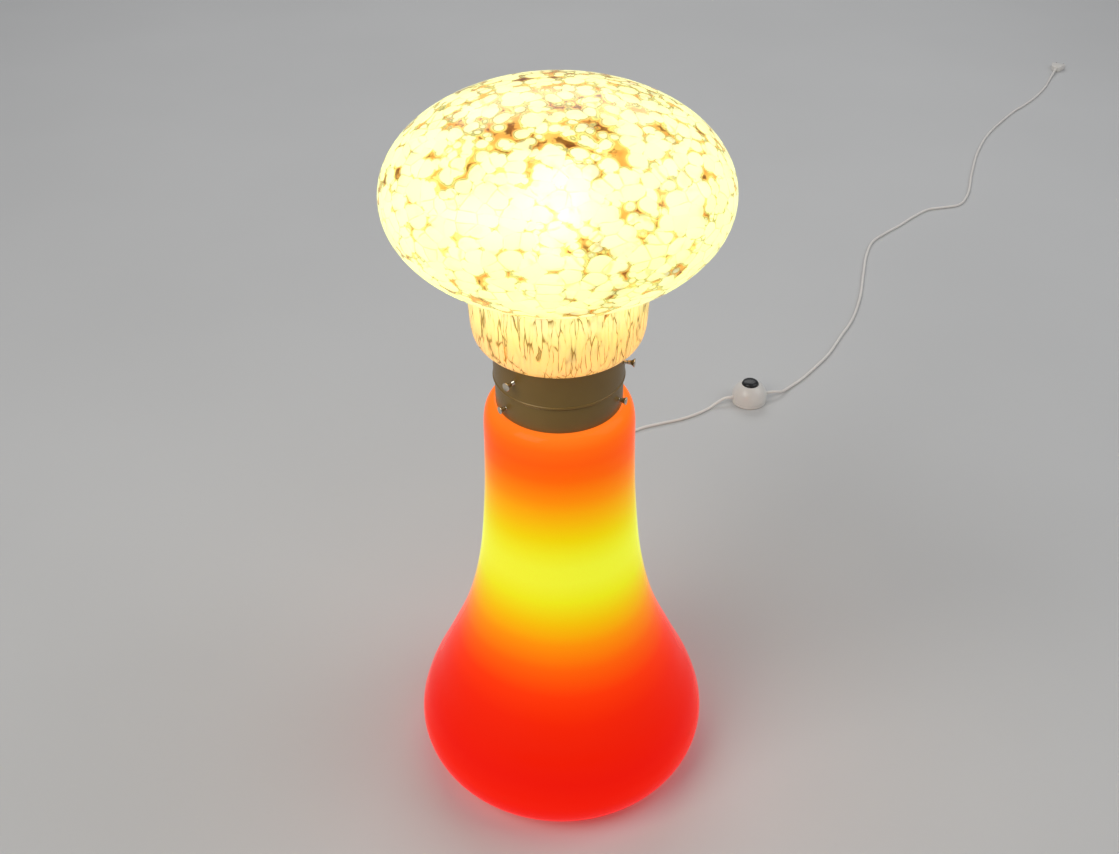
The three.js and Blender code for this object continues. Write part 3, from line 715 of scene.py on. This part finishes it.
UPPER_SCREWS, LOWER_SCREWS = (-42, 78, -162), (-55, 68, -172)
lower = lathe("collar_lower_band", rounded([
    (5.35, 527.9, 0), (61.5, 527.9, 0.4), (62.5, 526.9), (62.5, 502.3), (62.8, 501.5, 0.4), (64.0, 501.5, 0.4), (64.3, 502.0), (64.3, 528.6),
    (63.5, 529.7), (5.35, 529.7, 0)], 0.35, 3, closed=True), MAT_ENAMEL, 160, closed=True)
cut_with(lower, screw_cutters(LOWER_SCREWS, 513, 58, 70))
mark_sharp(lower, 40)
piece(lower, "collar", "lower_band", slot="enamel")
upper = lathe("collar_upper_band", rounded([
    (5.35, 530.0, 0), (64.9, 530.0, 0.6), (66.1, 530.5, 0.6), (66.3, 531.4, 0.6), (66.1, 532.3, 0.6), (65.5, 532.9, 0.3), (65.5, 570.0), (65.1, 570.7, 0.3),
    (64.0, 570.7, 0.3), (63.7, 570.2), (63.7, 532.9), (62.6, 531.8, 0.4), (5.35, 531.8, 0)], 0.4, 4, closed=True), MAT_ENAMEL, 160, closed=True)
cut_with(upper, screw_cutters(UPPER_SCREWS, 551, 60, 71))
mark_sharp(upper, 40)
piece(upper, "collar", "upper_band", slot="enamel")


def thumbscrew(name, node, azimuth, z, tip, end, head):
    L = end - tip
    prof = [(0, 0.15), (1.2, 0.1), (1.5, 0.3), (2.0, 0.9)]
    s = 1.0
    while s < L - 7.2:                                       # rolled thread on the shank
        prof += [(2.0, s), (1.72, s + 0.28)]
        s += 0.56
    prof += [(1.95, s), (2.0, L - 6.4), (2.05, L - 5.2)]
    prof += spline2([(2.1, L - 4.9), (2.35, L - 3.7), (2.95, L - 2.6), (head * 0.82, L - 1.7), (head - 0.15, L - 1.15)], 0.3)
    prof += [(head, L - 0.85), (head, L - 0.35), (head - 0.25, L - 0.05), (head - 0.6, L - 0.05), (head - 1.0, L - 0.3), (1.6, L - 0.6), (0, L - 0.65)]
    t = math.radians(azimuth - 90)
    knurl = lambda r, zz, a: (r + (0.09 * math.cos(16 * a) if r > head - 0.3 and zz > L - 1.2 else 0.0), zz)
    ob = lathe(name, prof, MAT_NICKEL, 48, matrix=Matrix.Translation((0, 0, z * MM)) @ Matrix.Rotation(t, 4, "Z") @ Matrix.Translation((tip * MM, 0, 0)) @ ALONG_X, wobble=knurl, sharp=50)
    piece(ob, node, node, slot="brass")


for i, a in enumerate(UPPER_SCREWS):
    thumbscrew(f"screw_upper_{i + 1}", f"upper_thumbscrew_{i + 1}", a, 551, 58.3, 76, 4.4)
for i, a in enumerate(LOWER_SCREWS):
    thumbscrew(f"screw_lower_{i + 1}", f"lower_thumbscrew_{i + 1}", a, 513, 54.3, 71.5, 3.9)

thread = []
zt = 454.0
while zt < 611.4:
    thread += [(5.0, zt), (4.72, zt + 0.5)]
    zt += 1.0
nipple = lathe("nipple", [(3.3, 454), *thread, (5.0, 612), (3.3, 612)], MAT_BRASS, 32, closed=True)
cut_with(nipple, [])
piece(nipple, "collar", "nipple_tube", slot="brass")


def hex_nut(name, node, z0):
    me = bpy.data.meshes.new(name)
    bm = bmesh.new()
    ring_o = []
    for zz, k in ((z0, 0.93), (z0 + 0.5, 1.0), (z0 + 2.9, 1.0), (z0 + 3.4, 0.93)):
        ring_o.append([bm.verts.new((8.2 * k * math.cos(math.radians(60 * i)) * MM, 8.2 * k * math.sin(math.radians(60 * i)) * MM, zz * MM)) for i in range(6)])
    for a, b in zip(ring_o, ring_o[1:]):
        for i in range(6):
            bm.faces.new((a[i], a[(i + 1) % 6], b[(i + 1) % 6], b[i]))
    bm.faces.new(list(reversed(ring_o[0])))
    bm.faces.new(ring_o[-1])
    bm.to_mesh(me)
    bm.free()
    ob = link(name, me, MAT_BRASS, smooth=False)
    cut_with(ob, [cylinder_mesh(5.35, z0 - 1, z0 + 5, 32)])
    return piece(ob, "collar", node, slot="brass")


def washer(name, node, z0):
    ob = lathe(name, rounded([(5.35, z0), (12, z0), (12, z0 + 1.4), (5.35, z0 + 1.4)], 0.3, 3, closed=True), MAT_STEEL, 48, closed=True, sharp=50)
    return piece(ob, "collar", node, slot="steel")


washer("washer_lower", "lower_washer", 526.2)
hex_nut("nut_lower", "lower_locknut", 522.5)
washer("washer_upper", "upper_washer", 532.1)
hex_nut("nut_upper", "upper_locknut", 533.8)


def bevelled_box(name, x0, x1, y0, y1, z0, z1, bevel, mat, matrix=None, segments=3):
    me = bpy.data.meshes.new(name)
    bm = bmesh.new()
    bmesh.ops.create_cube(bm, size=1.0)
    for v in bm.verts:
        v.co = Vector(((x0 + x1) / 2 + v.co.x * (x1 - x0), (y0 + y1) / 2 + v.co.y * (y1 - y0), (z0 + z1) / 2 + v.co.z * (z1 - z0))) * MM
    bmesh.ops.bevel(bm, geom=list(bm.edges), offset=bevel * MM, segments=segments, profile=0.5, affect="EDGES")
    if matrix is not None:
        bm.transform(matrix)
    bm.to_mesh(me)
    bm.free()
    ob = link(name, me, mat)
    mark_sharp(ob, 40)
    return ob


tb = bevelled_box("terminals", -12, 12, 14, 28, 509.5, 527.5, 1.2, MAT_WHITE)
cut_with(tb, [cylinder_mesh(1.9, 505, 530, 20, place(6.5, 21)), cylinder_mesh(2.6, 505, 513, 20, place(-5.5, 17.8)), cylinder_mesh(2.6, 505, 513, 20, place(-5.5, 24.2))])
mark_sharp(tb, 40)
piece(tb, "collar", "terminal_block", slot="white_plastic")
ts = lathe("terminal_fixing", rounded([(0, 506.6), (0.6, 506.2), (2.6, 506.2, 0.5), (3, 507.4), (3, 509.2), (1.5, 509.2), (1.5, 527.2), (0, 527.2)], 0.25, 3), MAT_STEEL, 28, matrix=place(6.5, 21), sharp=45)
piece(ts, "collar", "terminal_screw", slot="steel")
jw = lathe("jumper", rounded([(0, 1.9), (1.4, 1.9), (1.4, 13.7), (0, 13.7)], 0.3, 3), MAT_CORD, 20, matrix=Matrix.Translation((0, 0, 0.515)) @ ALONG_Y)
piece(jw, "collar", "jumper_wire", slot="cord")
tw = lathe("wire_in_nipple", rounded([(0, 457), (1.5, 457), (1.5, 609), (0, 609)], 0.3, 3), MAT_CORD, 20)
piece(tw, "collar", "through_wire", slot="cord")


# ------------------------------------------------------------------ lampholders and bulbs
def mirrored(profile, z0, d):
    return [(p[0], z0 + d * p[1], *p[2:]) for p in profile]


def lampholder(prefix, z0, d):
    m = lambda p: mirrored(p, z0, d)
    cap = lathe(f"{prefix}_lampholder_cap", rounded(m([
        (5.35, 0), (8, 0), (8.6, 0.8), (12, 1.0), (17, 3.6, 2), (20, 8.2, 2), (20, 15), (19.4, 15.3), (19.4, 16.2), (20, 16.5), (20, 18), (18.4, 18), (18.4, 9), (15.8, 4.6), (11, 2.2), (5.35, 2.2)]),
        0.35, 3, closed=True), MAT_PHENOLIC, 64, closed=True, sharp=50)
    piece(cap, "collar", f"{prefix}_holder_cap", slot="phenolic")
    rib = lambda r, z, a: (r + (0.18 * max(0.0, math.cos(24 * a)) if r > 19.2 and abs(z - z0) > 27 else 0.0), z)
    body = lathe(f"{prefix}_lampholder_body", rounded(m([
        (18.4, 18.3), (20, 18.3), (20, 23.6), (20.8, 25.4), (20.8, 27.2), (20.2, 28.2), (19.5, 55), (19.5, 57.3), (19, 58), (17.9, 58), (18.4, 27)]),
        0.35, 3, closed=True), MAT_PHENOLIC, 96, closed=True, wobble=rib, sharp=50)
    piece(body, "collar", f"{prefix}_holder_body", slot="phenolic")
    ins = lathe(f"{prefix}_lampholder_insert", rounded(m([(0, 12), (15.5, 12), (17, 14), (17, 26), (15.6, 28), (8, 28), (7.2, 27.2), (0, 27.2)]), 0.4, 3), MAT_CERAMIC, 48, sharp=50)
    piece(ins, "collar", f"{prefix}_holder_insert", slot="ceramic")
    wave = [(13.95 + 0.22 * math.sin(2 * math.pi * t / 3.6), t) for t in [28.3 + 0.45 * i for i in range(62)] if t <= 56]
    prof = m([(r + 0.22, t) for r, t in wave] + [(r - 0.22, t) for r, t in reversed(wave)])
    sh = lathe(f"{prefix}_lampholder_shell", prof, MAT_BRASS, 48, closed=True, sharp=60)
    piece(sh, "collar", f"{prefix}_screw_shell", slot="brass")
    cc = lathe(f"{prefix}_lampholder_contact", rounded(m([(0, 28.3), (4.5, 28.3), (4.5, 29.0), (2.5, 30.9), (1.2, 31.2), (0, 31.2)]), 0.3, 3), MAT_BRASS, 32, sharp=50)
    piece(cc, "collar", f"{prefix}_centre_contact", slot="brass")


lampholder("upper", 603, 1)
lampholder("lower", 463, -1)


def bulb(prefix, z0, d):
    m = lambda p: mirrored(p, z0, d)
    G, T = 31.0, 116.0
    body = f"{prefix}_bulb"
    wave = [(12.75 + 0.38 * math.sin(2 * math.pi * t / 3.6), t) for t in [39.5 + 0.45 * i for i in range(38)] if t <= 55.6]
    cap = lathe(f"{prefix}_lamp_cap", m([(0, 31.6), (3.6, 31.6), (4.3, 32.2), (4.8, 33.4), (5.4, 34), (11.4, 37), (12.3, 38.2)] + wave + [(12.9, 56.4), (13.2, 57), (13.2, 57.8), (12.9, 58), (0, 58)]), MAT_ALU, 64, sharp=55)
    piece(cap, body, f"{prefix}_bulb_cap", slot="bulb_cap")
    arc = lambda R, a0, a1, s: [(R * math.sin(math.radians(a)), T - R * math.cos(math.radians(a))) for a in range(a0, a1 + 1, s)]
    outer = spline2([(12.9, 58.3), (13.0, 64), (13.6, 71), (15.2, 80), (18.8, 88.6), (23.75, 96.1)], 1.5)[:-1] + arc(G, 50, 178, 4) + [(0, T + G)]
    inner = [(0, T + G - 1.2)] + list(reversed(arc(G - 1.2, 50, 178, 8))) + list(reversed(spline2([(11.7, 58.3), (11.8, 64), (12.4, 71), (14.0, 80.3), (17.7, 89.5)], 3.0)))
    ob = lathe(f"{prefix}_lamp_globe", m(outer + inner), MAT_BULB, 64, closed=True)
    piece(ob, body, f"{prefix}_bulb_glass", slot="bulb_glass")
    stem = lathe(f"{prefix}_lamp_stem", m(spline2([(0, 58.4), (7.6, 58.6), (7.8, 60), (4.4, 66), (2.6, 78), (2.2, 98), (3.3, 101), (3.0, 104), (0, 106)], 1.5)), MAT_CLEAR, 32)
    piece(stem, body, f"{prefix}_bulb_stem", slot="clear_glass")


bulb("upper", 603, 1)
bulb("lower", 463, -1)


# ------------------------------------------------------------------ shade glass
def shade_glass():
    A, B, C, W = 161.6, 94.0, 727.0, 4.0
    el = lambda a, b, degs: [(a * math.cos(math.radians(t)), C + b * math.sin(math.radians(t))) for t in degs]
    lip = rounded([(54, 575, 0), (54, 545), (58, 545), (58, 571), (66.2, 571, 0)], 1.2, 4)
    neck = spline2([(66.2, 571), (71.5, 571.9), (77.4, 574.8), (82.2, 580.6), (84.8, 589), (86.1, 603), (86.9, 620), (87.1, 634), (87.9, 642.5), (91.5, 648.9), (96.8, 651.8)], 2.0)
    bowl = el(A, B, [-52, *[-51 + 3 * i for i in range(47)], 90])
    bowl = [q for q in bowl if q[1] > 652.2]
    outer = lip + neck[1:] + bowl[:-1] + [(0, C + B)]
    inner_bowl = [q for q in el(A - W, B - W, [90 - 5 * i for i in range(29)]) if q[1] > 655]
    inner = [(0, C + B - W)] + inner_bowl[1:] + spline2([(92, 653.0), (86.2, 648.5), (83.6, 642), (83, 632), (82.4, 604), (80.4, 589), (76.4, 580), (70.5, 576), (66, 575), (58, 575), (54, 575)], 3.0)
    prof = outer + inner
    # the blown form is a touch uneven
    def wob(r, z, a):
        if z < 600:
            return r, z
        k = min(1.0, (z - 600) / 60.0)
        return r * (1 + k * (-0.0022 + 0.0016 * math.sin(2 * a + 0.7) + 0.0006 * math.sin(5 * a + z * 0.03))), z
    ob = lathe("shade_glass_body", prof, MAT_SHADE, seg=160, closed=True, wobble=wob)
    return ob


piece(shade_glass(), "shade", "shade_glass", slot="shade_glass")

# ------------------------------------------------------------------ foot switch
SW = place(SWITCH_AT[0], SWITCH_AT[1], 0, SWITCH_TURN)
tray = lathe("foot_switch_tray", rounded([(0, 0), (27.6, 0, 1.2), (29.4, 1.4, 1.0), (29.5, 6), (27.5, 6), (27.5, 2.6), (0, 2.6)], 0.3, 3), MAT_WHITE, 96)
for y in (20, -20):
    boss = link("boss", cylinder_mesh(4.5, 1, 6, 32, place(0, y)), MAT_WHITE)
    mod = tray.modifiers.new("join", "BOOLEAN")
    mod.operation = "UNION"
    mod.solver = "EXACT"
    mod.object = boss
    dg = bpy.context.evaluated_depsgraph_get()
    new = bpy.data.meshes.new_from_object(tray.evaluated_get(dg))
    tray.modifiers.clear()
    tray.data = new
    bpy.data.objects.remove(boss)
cut_with(tray, [cylinder_mesh(3.4, -1, 2, 32, place(0, 20)), cylinder_mesh(3.4, -1, 2, 32, place(0, -20)), cylinder_mesh(1.9, -1, 8, 24, place(0, 20)), cylinder_mesh(1.9, -1, 8, 24, place(0, -20))])
tray.data.transform(SW)
mark_sharp(tray, 40)
piece(tray, "base", "switch_base", slot="white_plastic")

dome = spline2([(29.5, 8.0), (29.48, 12), (28.9, 17.2), (27.1, 22.5), (23.9, 27.6), (19.6, 32.0), (16.4, 34.3), (15.4, 35.0)], 0.8)
cover_prof = [(29.2, 6.3), (29.5, 6.7)] + dome + [(14.9, 35.25), (14.5, 35.2), (14.25, 34.8), (14.2, 33.6), (14.5, 33.1)] + spline2([(14.8, 32.9), (18, 30.6), (22, 26.6), (25, 21.8), (26.8, 16.8), (27.4, 12), (27.4, 8)], 1.5) + [(27.4, 6.3)]
cover = lathe("foot_switch_cover", cover_prof, MAT_WHITE, 96, closed=True)
cut_with(cover, [cylinder_mesh(3.8, -40, 40, 32, Matrix.Translation((0, 0, SWITCH_CORD_Z * MM)) @ ALONG_X)])
cover.data.transform(SW)
mark_sharp(cover, 40)
piece(cover, "base", "switch_cover", slot="white_plastic")

btn = [(0, 26), (7, 26), (7, 30), (15.2, 30), (15.2, 31.5), (13.7, 31.5), (13.7, 36.2)] + spline2([(13.7, 36.4), (13.4, 37.6), (12.5, 38.8), (11, 39.7), (9.4, 40.4), (6, 41.0), (3, 41.3), (0, 41.4)], 0.4)
button = lathe("foot_switch_button", btn, MAT_BLACK, 72, matrix=SW, sharp=50)
piece(button, "foot_button", "switch_button", slot="black_button")

coil = [(6 * math.cos(i / 120 * 8 * math.pi) * MM, 6 * math.sin(i / 120 * 8 * math.pi) * MM, (13 + 12 * i / 120) * MM) for i in range(121)]
spring = mesh_tube("foot_switch_spring", coil, 0.6 * MM, MAT_STEEL, 2)
spring.data.transform(SW)
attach(spring, "base")
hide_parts("switch_spring")
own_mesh(spring)

mech = bevelled_box("foot_switch_mechanism", -10, 10, -7, 7, 2.9, 12, 0.8, MAT_PHENOLIC)
cut_with(mech, [cylinder_mesh(1.2, -12, 12, 16, Matrix.Translation((0, 0.004, 0.0075)) @ ALONG_X), cylinder_mesh(1.2, -12, 12, 16, Matrix.Translation((0, -0.004, 0.0075)) @ ALONG_X)])
mech.data.transform(SW)
mark_sharp(mech, 40)
piece(mech, "base", "switch_mechanism", slot="phenolic")
for i, y in enumerate((20, -20)):
    s = lathe(f"foot_switch_screw_{i + 1}", rounded([(0, 0.9), (0.7, 0.9), (1.1, 0.45), (2.4, 0.4, 0.3), (3, 0.9), (3, 1.8), (1.5, 1.8), (1.5, 14.4), (0.8, 15), (0, 15)], 0.2, 3), MAT_STEEL, 28, matrix=SW @ place(0, y), sharp=45)
    piece(s, "base", f"switch_screw_{i + 1}", slot="steel")
for i, sgn in enumerate((1, -1)):
    turn = Matrix.Rotation(0 if sgn > 0 else math.pi, 4, "Z")
    s = lathe(f"foot_switch_relief_{i + 1}", rounded([(0, 24), (3.5, 24), (3.5, 30.2), (3.2, 31.2), (3.2, 32.4), (2.9, 33), (0, 33)], 0.25, 3), MAT_WHITE, 32,
              matrix=SW @ Matrix.Translation((0, 0, SWITCH_CORD_Z * MM)) @ turn @ ALONG_X, sharp=50)
    piece(s, "base", f"switch_strain_relief_{i + 1}", slot="white_plastic")

# ------------------------------------------------------------------ plug
PL = place(PLUG_AT[0], PLUG_AT[1], 0, PLUG_DIR)


def plug_body():
    half = [(22.3, 5.6), (24.5, 7.6), (28, 10.6), (33, 12.6), (39, 13.6), (45, 14.6), (50, 16.4), (53.5, 17.4), (56.6, 17.5), (58, 16.4)]
    outline = spline2(half[:-2], 1.6)[:-1] + [half[-2], (57.6, 17.2), (58, 16.2)]
    outline = outline + [(x, -y) for x, y in reversed(outline)]
    # soft edges top and bottom: rings of the outline drawn in a little
    rings = []
    cx = 44.0
    for z, k in ((0.0, 1.9), (0.25, 1.0), (0.9, 0.35), (1.9, 0.0), (11.8, 0.0), (12.8, 0.35), (13.45, 1.0), (13.7, 1.9)):
        ring = []
        for x, y in outline:
            dx, dy = x - cx, y
            d = math.hypot(dx, dy)
            s = max(0.0, 1 - k / d)
            ring.append(((cx + dx * s) if 23 < x < 57.5 or k == 0 else x - (k * 0.6 if x > 57 else -k * 0.6), y * s, z))
        rings.append(ring)
    me = bpy.data.meshes.new("plug_moulding")
    bm = bmesh.new()
    rows = [[bm.verts.new(Vector(p) * MM) for p in r] for r in rings]
    for a, b in zip(rows, rows[1:]):
        for i in range(len(a)):
            j = (i + 1) % len(a)
            bm.faces.new((a[i], b[i], b[j], a[j]))
    bm.faces.new(rows[0])
    bm.faces.new(list(reversed(rows[-1])))
    bmesh.ops.recalc_face_normals(bm, faces=bm.faces)
    bm.to_mesh(me)
    bm.free()
    ob = link("plug_moulding", me, MAT_WHITE)
    cutters = [cylinder_mesh(2.3, 47, 62, 24, Matrix.Translation((0, y * MM, PLUG_Z * MM)) @ ALONG_X) for y in (9.3, -9.3)]
    for x in (31, 34.5, 38, 41.5):                           # grip grooves on both faces
        for z in (-0.15, 13.85):
            g = bpy.data.meshes.new("cutter")
            b2 = bmesh.new()
            bmesh.ops.create_cube(b2, size=1.0)
            for v in b2.verts:
                v.co = Vector((x + v.co.x * 1.2, v.co.y * 15.0, z + v.co.z * 1.3)) * MM
            b2.to_mesh(g)
            b2.free()
            cutters.append(g)
    cut_with(ob, cutters)
    ob.data.transform(PL)
    mark_sharp(ob, 38)
    return ob


plug = piece(plug_body(), "base", "plug_body", slot="white_plastic")
for i, y in enumerate((9.3, -9.3)):
    p = lathe(f"plug_contact_{i + 1}", rounded([(0, 47.5), (2, 47.5), (2, 75.4), (1.7, 76.6, 0.8), (0.8, 77.4, 0.6), (0, 77.4)], 0.3, 3), MAT_NICKEL, 32,
              matrix=PL @ Matrix.Translation((0, y * MM, PLUG_Z * MM)) @ ALONG_X, sharp=50)
    piece(p, "base", f"plug_pin_{i + 1}", slot="brass")
rel = [(0, 0.4), (2.9, 0.4)]
s = 1.0
while s < 20:
    r = 2.95 + 1.3 * s / 22
    rel += [(r, s), (r + 0.05, s + 1.3), (r - 0.75, s + 1.45), (r - 0.75, s + 2.2)]
    s += 2.4
rel += [(4.2, 20.4), (4.3, 22), (0, 22)]
relief = lathe("plug_relief", rounded(rel, 0.15, 2), MAT_WHITE, 40, matrix=PL @ Matrix.Translation((0, 0, PLUG_Z * MM)) @ ALONG_X, sharp=50)
piece(relief, "base", "plug_strain_relief", slot="white_plastic")


# ------------------------------------------------------------------ floor and light
def floor():
    me = bpy.data.meshes.new("floor")
    s = 14.0
    me.from_pydata([(-s, -s, -0.00008), (s, -s, -0.00008), (s, s, -0.00008), (-s, s, -0.00008)], [], [(0, 1, 2, 3)])
    m = Mat("pale_floor", Roughness=0.6)
    n = m.noise(1.4, 3.0, 0.5)[0]
    m.link(m.ramp(n, [(0.3, (0.62, 0.617, 0.605, 1)), (0.7, (0.65, 0.647, 0.635, 1))]), m.p.inputs["Base Color"])
    ob = link("floor", me, m.m, smooth=False)


floor()


def area(name, loc, target, size, power, color=(1, 1, 1)):
    d = bpy.data.lights.new(name, "AREA")
    d.shape = "RECTANGLE"
    d.size, d.size_y = size
    d.energy = power
    d.color = color
    ob = bpy.data.objects.new(name, d)
    scene.collection.objects.link(ob)
    ob.location = loc
    ob.rotation_euler = (Vector(target) - Vector(loc)).to_track_quat("-Z", "Y").to_euler()


area("key", (-2.2, -1.6, 3.0), (0, 0.2, 0.4), (2.4, 2.4), 62, (1.0, 0.98, 0.95))
area("fill", (2.6, 0.2, 2.6), (0.2, 0.4, 0.3), (2.6, 2.6), 28, (0.96, 0.98, 1.0))
area("back", (0.0, 4.0, 3.2), (0.4, 1.0, 0.2), (4.0, 2.0), 46, (1.0, 1.0, 1.0))

world = bpy.data.worlds.new("world")
world.use_nodes = True
bg = world.node_tree.nodes["Background"]
bg.inputs["Color"].default_value = (0.9, 0.93, 1.0, 1)
bg.inputs["Strength"].default_value = 0.24
scene.world = world
scene.view_settings.view_transform = "Standard"
scene.view_settings.look = "None"

print("cord lengths", round(LEN_A, 3), round(LEN_B, 3))
